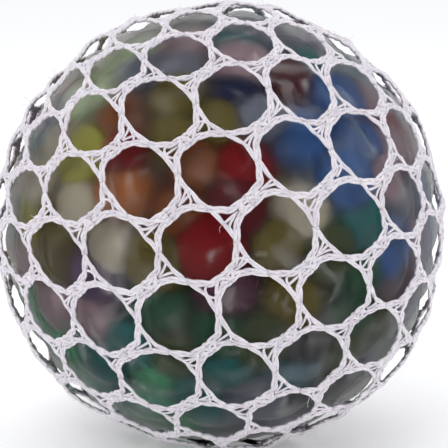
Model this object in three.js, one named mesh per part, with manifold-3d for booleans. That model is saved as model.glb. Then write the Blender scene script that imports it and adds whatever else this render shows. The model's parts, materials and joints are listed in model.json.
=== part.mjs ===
// A squeeze ball: a clear rubber skin filled with water and soft coloured beads, wrapped in a
// knitted net that is gathered behind the ball and tied with thread.
// Millimetres, +Z up. The ball rests on its side: the middle of the wrap faces -Y, the gathered
// tail points to +Y. The origin is at the middle of the object's underside.

import * as THREE from "three";
import { mergeVertices } from "three/addons/utils/BufferGeometryUtils.js";
import Module from "manifold-3d";

const wasm = await Module();
wasm.setup();

// ---------------------------------------------------------------- driving dimensions

const SKIN_R = 31; // outer radius of the rubber skin
const SKIN_WALL = 0.6;
const NET_GAP = 0.55; // between the skin and the net
const NET_THICK = 0.95;
const REST_FLAT = 0.5; // how deep the net is pressed flat where the ball stands
const TAIL = 10.5; // how far the gathered tail stands out behind the ball

const PORT_BORE_R = 2.4; // filling port: a sleeve that the skin has inside the ball
const PORT_SLEEVE_R = 3.4;
const PORT_LENGTH = 5;
const PLUG_R = 2.1;
const PLUG_PAST_SLEEVE = 0.8;
const PLUG_ENDS = 0.8; // its end faces are this share of its width
const PLUG_CHAMFERS = { foot: 0.8, mouth: 0.3 };

const CELL_ACROSS = { pitch: 10.5, heading: 7.8 }; // from one cell of the net to the next
const CELL_DOWN = { pitch: 10.15, heading: -105 };
const FIRST_CELL = { across: -4.2, up: 13.4 }; // where cell 0, 0 lies on the flat net
const STRAND_HALF = 0.6; // half the width of a plain strand
const PILLAR_HALF = 1.05; // half the width of the thick strands that run up to the right
const SPREAD_2 = 0.077; // how the flat net stretches round the ball
const SPREAD_4 = -0.047;
const SPREAD_TO = 1.2; // past this many ball radii it closes in evenly
const SPREAD_AFTER = 0.92;
const CELLS_TO = 2.14; // the open cells reach this far, in ball radii along the flat net
const CELL_COUNT = 12; // more cells than that on every side

const PLEATS = 22;
const PLEAT_DEPTH = 0.45;
const COLLAR_FROM = 110; // degrees from the middle of the wrap to the start of the pleats
const COLLAR_TO = 166;
const COLLAR_RINGS = 6;
const COLLAR_MORE = 0.24; // the pleated stretch is this much thicker on each face
const NECK_R = 4.9; // outer radius of the net under the tie
const NECK_WALL = 2.2;
const NECK_PAST_TIE = { front: 0.2, back: 0.4 };
const TUFT_R = 8.6;
const TUFT_WALL = 3.4;
const TUFT_LIP = { share: 0.8, length: 2.6 }; // where it flares, and how far before its end

const THREAD_R = 0.5;
const THREAD_TURNS = 4;
const TIE_OUT = 3.4; // from the ball's surface to the middle of the tie
const THREAD_CLEAR = 0.3; // between the thread and the net it holds
const KNOT_R = 1.25;
const KNOT_SHAPE = [1.2, 1, 0.9];
const KNOT_SUNK = 0.6; // share of the knot's radius that lies in the winding

const BEAD_R = 4.2;
const SQUEEZE = 0.2; // share of its height that the ball loses when it is pressed
const BEAD_CLEAR = 0.3;
const BACK_BEADS = 22;
const SETTLE_PASSES = 400;
const SKIN_CLEAR = 0.3; // the beads stay this far from the rubber
const GOLDEN_TURN = Math.PI * (3 - Math.sqrt(5));

const NET_INNER = SKIN_R + NET_GAP;
const NET_OUTER = NET_INNER + NET_THICK;
const NET_MIDDLE = (NET_INNER + NET_OUTER) / 2;
const TIE_Y = NET_OUTER + TIE_OUT;
const TIE_HALF = THREAD_TURNS * THREAD_R;
const BALL_Z = NET_OUTER - REST_FLAT;
const BALL_Y = -TAIL / 2;
const FLOOR_SIZE = 40; // a block that cuts the underside of the net flat

// ---------------------------------------------------------------- colours

const NET_WHITE = new THREE.MeshStandardMaterial({ color: 0xe4dfe6, roughness: 0.75 });
const THREAD_WHITE = new THREE.MeshStandardMaterial({ color: 0xf1eef2, roughness: 0.6 });
const CLEAR_RUBBER = new THREE.MeshStandardMaterial({
  color: 0xc9ccd2,
  roughness: 0.15,
  transparent: true,
  opacity: 0.35,
});
const PLUG_RUBBER = new THREE.MeshStandardMaterial({ color: 0xd7d9da, roughness: 0.4 });

const BEAD_COLOURS = {
  red: 0xb0201c,
  crimson: 0x8c1530,
  maroon: 0x5c1520,
  orange: 0xb8581a,
  yellow: 0xb09a22,
  olive: 0x76702a,
  lime: 0x7fae22,
  green: 0x237a34,
  forest: 0x174a30,
  teal: 0x1b6a70,
  sky: 0x4f8fb5,
  blue: 0x22409a,
  navy: 0x161c50,
  violet: 0x54307c,
  plum: 0x502040,
  slate: 0x5c6478,
  pearl: 0x8f8878,
  rust: 0x7a3a1c,
};

// The beads that press against the skin round the middle of the wrap: the colour, and the
// degrees to the right and up from the middle, as seen from -Y.
const FRONT_BEADS = [
  ["rust", -11, 6],
  ["red", 2, 24],
  ["olive", -17, 28],
  ["orange", -30, 16],
  ["rust", -32, 38],
  ["pearl", -52, 32],
  ["olive", -58, 12],
  ["violet", -38, -4],
  ["forest", -19, -11],
  ["navy", 4, 43],
  ["slate", -12, 50],
  ["blue", 18, 31],
  ["pearl", 7, 13],
  ["olive", 15, 3],
  ["teal", 29, 10],
  ["blue", 40, 26],
  ["plum", -2, -8],
  ["forest", 20, -9],
  ["teal", -44, -19],
  ["green", -25, -29],
  ["teal", -3, -27],
  ["sky", 15, -27],
  ["slate", 36, -21],
  ["teal", -38, -42],
  ["teal", -10, -45],
  ["slate", 16, -45],
  ["plum", 43, -2],
  ["slate", 52, 14],
  ["crimson", 60, 32],
  ["slate", 44, 47],
  ["maroon", 20, 50],
  ["teal", 2, 64],
];
const BACK_BAND = { from: 0.05, to: 0.95 }; // how far behind the middle they lie, in radii
const BACK_COLOURS = ["blue", "orange", "green", "crimson", "yellow", "teal", "violet", "lime"];

// ---------------------------------------------------------------- helpers

const part = new THREE.Group();
const ball = new THREE.Group();
ball.position.set(0, BALL_Y, BALL_Z);
part.add(ball);

function addPiece(name, geometry, material, home = ball) {
  const mesh = new THREE.Mesh(geometry, material);
  mesh.name = name;
  home.add(mesh);
  return mesh;
}

const radians = THREE.MathUtils.degToRad;

function solidOf(geometry) {
  const bare = geometry.index ? geometry.toNonIndexed() : geometry.clone();
  for (const extra of ["normal", "uv"]) bare.deleteAttribute(extra);
  const merged = mergeVertices(bare, 1e-4);
  return new wasm.Manifold(
    new wasm.Mesh({
      numProp: 3,
      vertProperties: merged.attributes.position.array,
      triVerts: new Uint32Array(merged.index.array),
    }),
  );
}

function geometryOf(solid) {
  const mesh = solid.getMesh();
  const geometry = new THREE.BufferGeometry();
  geometry.setAttribute("position", new THREE.BufferAttribute(mesh.vertProperties, 3));
  geometry.setIndex(new THREE.BufferAttribute(mesh.triVerts, 1));
  return geometry;
}

// A profile of [radius, distance along +Y] points turned round the Y axis.
function turned(profile, segments) {
  const points = profile.map(([r, y]) => new THREE.Vector2(r, y));
  return new THREE.LatheGeometry(points, segments);
}

// Points on an arc about the ball's centre, in the plane of a turned profile. Angles are in
// degrees from -Y.
function arc(r, from, to, steps) {
  const points = [];
  for (let n = 0; n <= steps; n += 1) {
    const angle = radians(from + ((to - from) * n) / steps);
    points.push([r * Math.sin(angle), -r * Math.cos(angle)]);
  }
  return points;
}

// ---------------------------------------------------------------- the rubber skin and its plug

const SKIN_SEGMENTS = 28;
const SKIN_RINGS = 14;

function skinGeometry() {
  const inner = SKIN_R - SKIN_WALL;
  const mouth = Math.sqrt(SKIN_R ** 2 - PORT_BORE_R ** 2);
  const sleeveFoot = mouth - PORT_LENGTH;
  const boreAngle = 180 - THREE.MathUtils.radToDeg(Math.asin(PORT_BORE_R / SKIN_R));
  const sleeveAngle = 180 - THREE.MathUtils.radToDeg(Math.asin(PORT_SLEEVE_R / inner));
  const outside = arc(SKIN_R, 0, boreAngle, SKIN_RINGS);
  const inside = arc(inner, sleeveAngle, 0, SKIN_RINGS);
  const sleeve = [
    [PORT_BORE_R, sleeveFoot],
    [PORT_SLEEVE_R, sleeveFoot],
  ];
  outside[0][0] = 0;
  inside[inside.length - 1][0] = 0;
  return turned([...outside, ...sleeve, ...inside], SKIN_SEGMENTS);
}

function plugGeometry() {
  const mouth = Math.sqrt(SKIN_R ** 2 - PORT_BORE_R ** 2);
  const foot = mouth - PORT_LENGTH - PLUG_PAST_SLEEVE;
  const profile = [
    [0, foot],
    [PLUG_R * PLUG_ENDS, foot],
    [PLUG_R, foot + PLUG_CHAMFERS.foot],
    [PLUG_R, mouth - PLUG_CHAMFERS.mouth],
    [PLUG_R * PLUG_ENDS, mouth],
    [0, mouth],
  ];
  return turned(profile, 16);
}

// ---------------------------------------------------------------- the net

function headed({ pitch, heading }) {
  const length = pitch / NET_MIDDLE;
  return new THREE.Vector2(
    length * Math.cos(radians(heading)),
    length * Math.sin(radians(heading)),
  );
}

const across = headed(CELL_ACROSS);
const down = headed(CELL_DOWN);
const first = new THREE.Vector2(FIRST_CELL.across, FIRST_CELL.up).divideScalar(NET_MIDDLE);

// A place on the flat net, counted in cells.
function flat(i, j) {
  return first.clone().addScaledVector(across, i).addScaledVector(down, j);
}

// How far round the ball, in radians, a ring of the flat net lies.
function spread(r) {
  const near = Math.min(r, SPREAD_TO);
  const turn = near * (1 + SPREAD_2 * near ** 2 + SPREAD_4 * near ** 4);
  return turn + SPREAD_AFTER * (r - near);
}

// The flat net wrapped round the ball at a given radius.
function wrap(q, radius) {
  const turn = spread(q.length());
  const side = q.clone().normalize().multiplyScalar(Math.sin(turn));
  return new THREE.Vector3(side.x, -Math.cos(turn), side.y).multiplyScalar(radius);
}

// The six cells round a cell, in order. Strands between a cell and its PILLAR neighbours are thick.
const AROUND = [
  [1, 0],
  [1, 1],
  [0, 1],
  [-1, 0],
  [-1, -1],
  [0, -1],
];
const PILLAR = [false, true, false, false, true, false];

// Where two neighbours and the cell meet.
function corner(i, j, k) {
  const [a, b] = [AROUND[k], AROUND[(k + 1) % 6]];
  return flat(i + (a[0] + b[0]) / 3, j + (a[1] + b[1]) / 3);
}

// The corner of the hole: where the inner edges of two strands cross.
function holeCorner(i, j, k) {
  const lines = [k, (k + 1) % 6].map((side) => {
    const from = corner(i, j, (side + 5) % 6);
    const along = corner(i, j, side).sub(from).normalize();
    const half = (PILLAR[side] ? PILLAR_HALF : STRAND_HALF) / NET_MIDDLE;
    const inward = new THREE.Vector2(-along.y, along.x);
    if (inward.dot(flat(i, j).sub(from)) < 0) inward.negate();
    return { at: from.addScaledVector(inward, half), along };
  });
  const [one, two] = lines;
  const gap = two.at.clone().sub(one.at);
  const step = gap.cross(two.along) / one.along.cross(two.along);
  return one.at.clone().addScaledVector(one.along, step);
}

function cellsGeometry() {
  const cells = new Set();
  for (let i = -CELL_COUNT; i <= CELL_COUNT; i += 1) {
    for (let j = -CELL_COUNT; j <= CELL_COUNT; j += 1) {
      if (flat(i, j).length() < CELLS_TO) cells.add(`${i},${j}`);
    }
  }
  const points = [];
  const quad = (a, b, c, d) => points.push(a, b, c, a, c, d);
  for (const cell of cells) {
    const [i, j] = cell.split(",").map(Number);
    for (let k = 0; k < 6; k += 1) {
      const next = (k + 1) % 6;
      const rim = [corner(i, j, k), corner(i, j, next)];
      const hole = [holeCorner(i, j, k), holeCorner(i, j, next)];
      const [a, b] = rim.map((q) => wrap(q, NET_OUTER));
      const [c, d] = hole.map((q) => wrap(q, NET_OUTER));
      const [e, f] = rim.map((q) => wrap(q, NET_INNER));
      const [g, h] = hole.map((q) => wrap(q, NET_INNER));
      quad(a, c, d, b);
      quad(e, f, h, g);
      quad(c, g, h, d);
      const [di, dj] = AROUND[next];
      if (!cells.has(`${i + di},${j + dj}`)) quad(a, b, f, e);
    }
  }
  const geometry = new THREE.BufferGeometry();
  geometry.setFromPoints(points);
  return geometry;
}

// The pleated stretch behind the open cells: a closed ring from the cells to the end of the tuft.
function collarGeometry() {
  const outer = NET_OUTER + COLLAR_MORE;
  const inner = NET_INNER - COLLAR_MORE;
  const end = NET_OUTER + TAIL;
  const neckFrom = TIE_Y - TIE_HALF - NECK_PAST_TIE.front;
  const neckTo = TIE_Y + TIE_HALF + NECK_PAST_TIE.back;
  const rings = [
    ...arc(outer, COLLAR_FROM, COLLAR_TO, COLLAR_RINGS).map((p, n) => [
      ...p,
      (PLEAT_DEPTH * n) / COLLAR_RINGS,
    ]),
    [NECK_R, neckFrom, PLEAT_DEPTH],
    [NECK_R, neckTo, PLEAT_DEPTH],
    [TUFT_R * TUFT_LIP.share, end - TUFT_LIP.length, 2 * PLEAT_DEPTH],
    [TUFT_R, end, 2 * PLEAT_DEPTH],
    [TUFT_R - TUFT_WALL, end, PLEAT_DEPTH],
    [NECK_R - NECK_WALL, neckTo, 0],
    [NECK_R - NECK_WALL, neckFrom, 0],
    ...arc(inner, COLLAR_TO, COLLAR_FROM, COLLAR_RINGS).map((p) => [...p, 0]),
  ];
  const spokes = PLEATS * 2;
  const at = (ring, spoke) => {
    const [r, y, fold] = rings[ring % rings.length];
    const angle = (2 * Math.PI * (spoke % spokes)) / spokes;
    const pleated = r - (spoke % 2) * fold;
    return new THREE.Vector3(pleated * Math.cos(angle), y, pleated * Math.sin(angle));
  };
  const points = [];
  for (let ring = 0; ring < rings.length; ring += 1) {
    for (let spoke = 0; spoke < spokes; spoke += 1) {
      const [a, b] = [at(ring, spoke), at(ring, spoke + 1)];
      const [c, d] = [at(ring + 1, spoke), at(ring + 1, spoke + 1)];
      points.push(a, c, b, b, c, d);
    }
  }
  const geometry = new THREE.BufferGeometry();
  geometry.setFromPoints(points);
  return geometry;
}

// The net is pressed flat where the ball stands.
function netGeometry() {
  const floor = new THREE.BoxGeometry(FLOOR_SIZE, FLOOR_SIZE, FLOOR_SIZE);
  floor.translate(0, 0, -BALL_Z - FLOOR_SIZE / 2);
  const whole = solidOf(cellsGeometry()).add(solidOf(collarGeometry()));
  return geometryOf(whole.subtract(solidOf(floor)));
}

// ---------------------------------------------------------------- the tie

function tieGeometry() {
  const inner = NECK_R + THREAD_CLEAR;
  const bumps = [];
  for (let turn = 0; turn < THREAD_TURNS; turn += 1) {
    const y = TIE_Y + (turn - (THREAD_TURNS - 1) / 2) * 2 * THREAD_R;
    bumps.push([inner + THREAD_R, y - THREAD_R], [inner + 2 * THREAD_R, y]);
  }
  const profile = [
    [inner, TIE_Y - TIE_HALF],
    ...bumps,
    [inner + THREAD_R, TIE_Y + TIE_HALF],
    [inner, TIE_Y + TIE_HALF],
    [inner, TIE_Y - TIE_HALF],
  ];
  const knot = new THREE.IcosahedronGeometry(KNOT_R, 1);
  knot.scale(...KNOT_SHAPE);
  knot.translate(0, TIE_Y, inner + 2 * THREAD_R + KNOT_R * (1 - KNOT_SUNK));
  return geometryOf(solidOf(turned(profile, 24)).add(solidOf(knot)));
}

// ---------------------------------------------------------------- the beads

// Moves the beads apart until none touch, at rest and when the ball is squeezed.
function settled(beads) {
  const keep = 1 - SQUEEZE;
  const inner = SKIN_R - SKIN_WALL - SKIN_CLEAR - BEAD_CLEAR;
  const widest = inner - BEAD_R;
  const tallest = inner - BEAD_R / keep;
  const port = new THREE.Vector3(0, SKIN_R - PORT_LENGTH / 2, 0);
  const portClear = BEAD_R + PORT_LENGTH;
  const least = 2 * BEAD_R + BEAD_CLEAR;
  for (let pass = 0; pass < SETTLE_PASSES; pass += 1) {
    beads.forEach((one, n) => {
      for (const two of beads.slice(n + 1)) {
        const apart = two.clone().sub(one);
        apart.z *= keep;
        const push = (least - apart.length()) / 2;
        if (push <= 0) continue;
        apart.setLength(push);
        apart.z /= keep;
        two.add(apart);
        one.sub(apart);
      }
    });
    for (const bead of beads) {
      const off = bead.clone().sub(port);
      if (off.length() < portClear) bead.copy(port).add(off.setLength(portClear));
      const out = Math.hypot(bead.x / widest, bead.y / widest, bead.z / tallest);
      if (out > 1) bead.divideScalar(out);
    }
  }
  return beads;
}

function addBeads() {
  const colours = FRONT_BEADS.map(([colour]) => colour);
  const starts = FRONT_BEADS.map(([, right, up]) => {
    const level = Math.cos(radians(up));
    return new THREE.Vector3(
      level * Math.sin(radians(right)),
      -level * Math.cos(radians(right)),
      Math.sin(radians(up)),
    );
  });
  for (let n = 0; n < BACK_BEADS; n += 1) {
    const share = (n + 0.5) / BACK_BEADS;
    const y = BACK_BAND.from + (BACK_BAND.to - BACK_BAND.from) * share;
    const side = Math.sqrt(1 - y ** 2);
    const turn = n * GOLDEN_TURN;
    starts.push(new THREE.Vector3(side * Math.cos(turn), y, side * Math.sin(turn)));
    colours.push(BACK_COLOURS[n % BACK_COLOURS.length]);
  }
  const out = SKIN_R - SKIN_WALL - BEAD_R;
  const places = settled(starts.map((start) => start.multiplyScalar(out)));
  places.forEach((place, n) => {
    const colour = colours[n];
    const material = new THREE.MeshStandardMaterial({
      color: BEAD_COLOURS[colour],
      roughness: 0.25,
    });
    const name = `bead_${String(n + 1).padStart(2, "0")}_${colour}`;
    addPiece(name, new THREE.IcosahedronGeometry(BEAD_R, 1), material).position.copy(place);
  });
}

// ---------------------------------------------------------------- the assembly

addPiece("net", netGeometry(), NET_WHITE);
addPiece("tie_thread", tieGeometry(), THREAD_WHITE);
addPiece("skin", skinGeometry(), CLEAR_RUBBER);
addPiece("filling_plug", plugGeometry(), PLUG_RUBBER);
addBeads();

export default part;
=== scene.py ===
# %% [markdown]
# # A squeeze ball in a knitted net
#
# The real object is a clear rubber balloon filled with water and soft coloured beads. A white
# knitted net is pulled round it, gathered behind it and tied with thread. Squeezing the ball
# pushes the skin and the beads out through the holes of the net.
#
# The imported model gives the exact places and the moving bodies. This script keeps those and
# builds the looks round them: every yarn of the net, the bulging skin, the beads and the tie.

import json
import math
import random

import bmesh
import bpy
import numpy as np
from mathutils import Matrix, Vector

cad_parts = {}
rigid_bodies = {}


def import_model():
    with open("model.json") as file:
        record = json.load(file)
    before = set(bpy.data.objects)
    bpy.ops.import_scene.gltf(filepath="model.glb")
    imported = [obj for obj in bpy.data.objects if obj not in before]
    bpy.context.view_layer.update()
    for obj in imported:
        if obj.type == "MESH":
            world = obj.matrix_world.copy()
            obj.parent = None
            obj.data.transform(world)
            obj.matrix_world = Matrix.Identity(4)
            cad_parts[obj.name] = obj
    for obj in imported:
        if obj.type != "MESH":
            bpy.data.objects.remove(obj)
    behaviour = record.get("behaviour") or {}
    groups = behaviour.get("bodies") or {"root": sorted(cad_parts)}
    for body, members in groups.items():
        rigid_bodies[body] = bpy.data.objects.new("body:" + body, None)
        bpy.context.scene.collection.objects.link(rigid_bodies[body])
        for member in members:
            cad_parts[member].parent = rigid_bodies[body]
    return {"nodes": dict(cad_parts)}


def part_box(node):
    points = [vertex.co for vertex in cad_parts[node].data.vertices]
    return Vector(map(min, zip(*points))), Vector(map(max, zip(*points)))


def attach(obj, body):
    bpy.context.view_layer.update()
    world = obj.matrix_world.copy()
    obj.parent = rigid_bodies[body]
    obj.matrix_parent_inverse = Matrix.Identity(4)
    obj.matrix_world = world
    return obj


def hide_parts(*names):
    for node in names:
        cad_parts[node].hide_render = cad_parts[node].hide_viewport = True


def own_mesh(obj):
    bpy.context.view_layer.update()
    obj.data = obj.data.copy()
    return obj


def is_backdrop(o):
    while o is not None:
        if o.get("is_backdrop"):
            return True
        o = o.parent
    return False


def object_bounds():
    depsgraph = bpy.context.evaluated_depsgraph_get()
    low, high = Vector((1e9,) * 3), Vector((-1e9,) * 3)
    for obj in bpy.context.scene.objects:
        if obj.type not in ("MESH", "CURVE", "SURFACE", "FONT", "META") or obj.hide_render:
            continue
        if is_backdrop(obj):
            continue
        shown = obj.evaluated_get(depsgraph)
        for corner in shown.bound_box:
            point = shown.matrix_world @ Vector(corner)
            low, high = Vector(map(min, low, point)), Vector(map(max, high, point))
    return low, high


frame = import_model()
CAD_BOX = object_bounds()
MM = 0.001

# %% [markdown]
# ## Where the ball is
#
# Everything is set out from the middle of the ball, so that comes first. The skin's box gives it:
# the skin is round, its front touches the box, and its middle is half way across and half way up.

# %% The middle of the ball
SKIN_R = 31 * MM
NET_R = 32.02 * MM
skin_low, skin_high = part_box("skin")
CENTRE = np.array(
    [(skin_low.x + skin_high.x) / 2, skin_low.y + SKIN_R, (skin_low.z + skin_high.z) / 2]
)
print("middle of the ball, mm:", (CENTRE / MM).round(2))

# %% [markdown]
# ## Camera, light and floor
#
# The ball is seen from slightly above and slightly to its left with a long lens, so it looks
# nearly flat and its outline stays round. The light is a white room with three soft boxes. The
# floor is plain and pale, and glows a little so that the underside of the ball isn't dark.
# Standard colour keeps the white net white.

# %% Camera
VIEW_TURN = math.radians(-7)
VIEW_RISE = math.radians(11)
VIEW_DISTANCE = 256 * MM
VIEW_LENS = 139.8
AIM_RIGHT = 0.38 * MM
AIM_UP = 0.29 * MM

back = Vector(
    (
        math.sin(VIEW_TURN) * math.cos(VIEW_RISE),
        -math.cos(VIEW_TURN) * math.cos(VIEW_RISE),
        math.sin(VIEW_RISE),
    )
)
right = Vector((math.cos(VIEW_TURN), math.sin(VIEW_TURN), 0))
upward = back.cross(right)
camera_data = bpy.data.cameras.new("camera")
camera_data.lens = VIEW_LENS
camera_data.sensor_width = 36
camera_data.clip_start = 0.01
camera_data.clip_end = 50
camera = bpy.data.objects.new("camera", camera_data)
bpy.context.scene.collection.objects.link(camera)
target = Vector(CENTRE) + right * AIM_RIGHT + upward * AIM_UP
camera.location = target + back * VIEW_DISTANCE
camera.rotation_euler = (-back).to_track_quat("-Z", "Y").to_euler()
bpy.context.scene.camera = camera
bpy.context.scene.view_settings.view_transform = "Standard"
print("camera at, m:", [round(v, 3) for v in camera.location])

# %% Soft light
world = bpy.data.worlds.new("white room")
bpy.context.scene.world = world
world.use_nodes = True
sky = world.node_tree.nodes["Background"]
sky.inputs["Strength"].default_value = 0.87
facing = world.node_tree.nodes.new("ShaderNodeTexCoord")
split = world.node_tree.nodes.new("ShaderNodeSeparateXYZ")
dusk = world.node_tree.nodes.new("ShaderNodeValToRGB")
dusk.color_ramp.elements[0].position = 0.0
dusk.color_ramp.elements[0].color = (0.12, 0.12, 0.125, 1)
dusk.color_ramp.elements[1].position = 0.3
dusk.color_ramp.elements[1].color = (0.97, 0.98, 1, 1)
half = world.node_tree.nodes.new("ShaderNodeMapRange")
half.inputs["From Min"].default_value = -1
world.node_tree.links.new(facing.outputs["Generated"], split.inputs["Vector"])
world.node_tree.links.new(split.outputs["Y"], half.inputs["Value"])
world.node_tree.links.new(half.outputs["Result"], dusk.inputs["Fac"])
world.node_tree.links.new(dusk.outputs["Color"], sky.inputs["Color"])


def soft_box(name, place, size, power):
    light = bpy.data.lights.new(name, "AREA")
    light.shape = "RECTANGLE"
    light.size = size[0]
    light.size_y = size[1]
    light.energy = power
    lamp = bpy.data.objects.new(name, light)
    bpy.context.scene.collection.objects.link(lamp)
    lamp.location = Vector(CENTRE) + Vector(place)
    lamp.rotation_euler = (-Vector(place)).to_track_quat("-Z", "Y").to_euler()
    return lamp


soft_box("key", (-0.22, -0.3, 0.42), (0.3, 0.3), 0.78)
soft_box("fill", (0.45, -0.2, 0.15), (0.12, 0.4), 0.42)
soft_box("top", (0, 0.1, 0.6), (0.5, 0.5), 0.45)

# %% Small helpers for nodes and pieces


def new_material(name):
    material = bpy.data.materials.new(name)
    material.use_nodes = True
    return material, material.node_tree, material.node_tree.nodes["Principled BSDF"]


def nothing_selected():
    bpy.ops.object.select_all(action="DESELECT")


def only(obj):
    nothing_selected()
    obj.select_set(True)
    bpy.context.view_layer.objects.active = obj


def settle(obj):
    only(obj)
    bpy.ops.object.transform_apply(location=True, rotation=True, scale=True)


# %% Floor
nothing_selected()
bpy.ops.mesh.primitive_plane_add(size=6, location=(0, 0, 0))
floor = bpy.context.object
floor.name = "floor"
settle(floor)
paper, tree, shader = new_material("pale_paper")
grain = tree.nodes.new("ShaderNodeTexNoise")
grain.inputs["Scale"].default_value = 90
tone = tree.nodes.new("ShaderNodeValToRGB")
tone.color_ramp.elements[0].color = (0.93, 0.93, 0.93, 1)
tone.color_ramp.elements[1].color = (0.97, 0.97, 0.97, 1)
where = tree.nodes.new("ShaderNodeTexCoord")
tree.links.new(where.outputs["Object"], grain.inputs["Vector"])
tree.links.new(grain.outputs["Fac"], tone.inputs["Fac"])
tree.links.new(tone.outputs["Color"], shader.inputs["Base Color"])
shader.inputs["Roughness"].default_value = 0.9
shader.inputs["Emission Color"].default_value = (1, 1, 1, 1)
shader.inputs["Emission Strength"].default_value = 0.2
floor.data.materials.append(paper)
floor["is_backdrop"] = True
print("floor laid")

# %% [markdown]
# ## The net laid flat, and how it wraps
#
# The real net is a warp knit: every yarn is looped into a chain, and the chains run side by side
# all down the cloth. Two neighbours are tied together for a while, which makes a thick strand,
# then part, which makes two thin ones, and that leaves six-sided holes. The cloth could be a
# sheet with a holed texture, but the holes are as deep as the yarn is thick, so here every yarn
# is a real tube. The honeycomb is set out on the flat cloth, in ball radii, and wrapped round.

# %% The honeycomb on the flat cloth


def headed(pitch, heading):
    turn = math.radians(heading)
    return np.array([math.cos(turn), math.sin(turn)]) * pitch * MM / NET_R


ACROSS_PITCH, ACROSS_HEADING = 10.5, 7.8
DOWN_PITCH, DOWN_HEADING = 10.15, -105
ACROSS = headed(ACROSS_PITCH, ACROSS_HEADING)
DOWN = headed(DOWN_PITCH, DOWN_HEADING)
FIRST = np.array([-4.2, 13.4]) * MM / NET_R
AROUND = [(1, 0), (1, 1), (0, 1), (-1, 0), (-1, -1), (0, -1)]
YARN_R = 0.23 * MM


def flat(i, j):
    return FIRST + i * ACROSS + j * DOWN


between = math.radians(ACROSS_HEADING - DOWN_HEADING)
print("one hole is", round(ACROSS_PITCH * DOWN_PITCH * math.sin(between)), "square mm of cloth")

# %% The line that the cloth follows from the front of the ball to the end of its tail
SPREAD_2 = 0.077
SPREAD_4 = -0.047
SPREAD_TO = 1.2
SPREAD_AFTER = 0.92
BALL_UNTIL = math.radians(158)
FLAT_TO = 3.3
FLAT_STEPS = 400
TAIL_STEPS = 80
tie_low, tie_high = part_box("tie_thread")
TIE_Y = (tie_low.y + tie_high.y) / 2 - CENTRE[1]
TAIL_END = CAD_BOX[1].y - CENTRE[1]
NECK_R = 3.7 * MM
TAIL_R = 7.6 * MM


def spread(r):
    near = np.minimum(r, SPREAD_TO)
    return near * (1 + SPREAD_2 * near**2 + SPREAD_4 * near**4) + SPREAD_AFTER * (r - near)


ball_flat = np.linspace(0, FLAT_TO, FLAT_STEPS)
ball_flat = ball_flat[spread(ball_flat) < BALL_UNTIL]
ball_turn = spread(ball_flat)
ball_line = np.stack([np.sin(ball_turn), -np.cos(ball_turn)], axis=1) * NET_R
tail_line = np.array(
    [
        ball_line[-1],
        [7.4 * MM, ball_line[-1][1] + 1.9 * MM],
        [4.5 * MM, TIE_Y - 2.6 * MM],
        [NECK_R, TIE_Y - 1.4 * MM],
        [NECK_R, TIE_Y + 1.6 * MM],
        [4.6 * MM, TIE_Y + 3 * MM],
        [6.3 * MM, TAIL_END - 2.4 * MM],
        [TAIL_R, TAIL_END - 0.3 * MM],
    ]
)


def smooth_line(points, steps):
    """Points on a Catmull-Rom curve through the given ones."""
    p = np.vstack([2 * points[0] - points[1], points, 2 * points[-1] - points[-2]])
    t = np.linspace(0, len(points) - 1, steps)
    k = np.minimum(t.astype(int), len(points) - 2)
    u = (t - k)[:, None]
    a, b, c, d = p[k], p[k + 1], p[k + 2], p[k + 3]
    return 0.5 * (
        2 * b + (c - a) * u + (2 * a - 5 * b + 4 * c - d) * u**2 + (3 * b - a - 3 * c + d) * u**3
    )


tail_fine = smooth_line(tail_line, TAIL_STEPS)[1:]
profile = np.vstack([ball_line, tail_fine])
tail_steps = np.linalg.norm(np.diff(profile[len(ball_line) - 1 :], axis=0), axis=1)
TAIL_STRETCH = 1.12
profile_flat = np.concatenate(
    [ball_flat, ball_flat[-1] + np.cumsum(tail_steps) / NET_R / TAIL_STRETCH]
)
along = np.gradient(profile, axis=0)
along /= np.linalg.norm(along, axis=1)[:, None]
profile_out = np.stack([along[:, 1], -along[:, 0]], axis=1)
CLOTH_R = profile_flat[-1]
print("the cloth is", round(2 * CLOTH_R * NET_R / MM), "mm across laid flat")

# %% Wrap points of the flat cloth round the ball
PLEATS = 22
PLEAT_START = 2.05
PLEAT_DEPTH = 1.0 * MM
LIFT = 1.05 * MM
WAVES_LEVELLED = 2.2
wave_of = random.Random(5)
WAVES = [
    (np.array([wave_of.gauss(0, 1) for _ in range(3)]) * scale, wave_of.uniform(0, 6.3))
    for scale in (4, 5, 6, 11, 12, 13)
]


def loose(direction):
    """0 to 1: how far the cloth stands off the skin here."""
    total = sum(np.sin(direction @ w + phase) for w, phase in WAVES)
    return 0.5 + 0.5 * np.tanh(total / WAVES_LEVELLED)


def wrapped(q):
    """Places and outward directions, in the row frame, of points of the flat cloth."""
    r = np.linalg.norm(q, axis=1)
    radius = np.interp(r, profile_flat, profile[:, 0])
    ahead = np.interp(r, profile_flat, profile[:, 1])
    out_r = np.interp(r, profile_flat, profile_out[:, 0])
    out_y = np.interp(r, profile_flat, profile_out[:, 1])
    side = q / np.maximum(r, 1e-9)[:, None]
    place = np.stack([side[:, 0] * radius, ahead, side[:, 1] * radius], axis=1)
    out = np.stack([side[:, 0] * out_r, out_y, side[:, 1] * out_r], axis=1)
    out /= np.linalg.norm(out, axis=1)[:, None]
    angle = np.arctan2(q[:, 1], q[:, 0])
    gather = np.clip((r - PLEAT_START) / (CLOTH_R - PLEAT_START), 0, 1)
    fold = np.sin(angle * PLEATS + 1.5 * np.sin(3 * angle)) * gather * PLEAT_DEPTH
    lift = loose(place / NET_R) * LIFT * (1 - gather)
    place = place + out * (fold + lift)[:, None] + CENTRE
    return place, out


print("pleats round the gather:", PLEATS)

# %% [markdown]
# ## Yarns
#
# A yarn is a round tube along a line. Blender can bevel a curve into one, but a chain of the net
# has three yarns that wind over and under each other, and they have to sit on the ball and not
# turn about their own line. So the tubes are swept here: each ring of corners stands square to
# the yarn, with one corner pointing out of the ball. All tubes of a piece go into one mesh.

# %% Sweep yarns into one mesh
ABOVE_TABLE = 0.02 * MM


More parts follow.
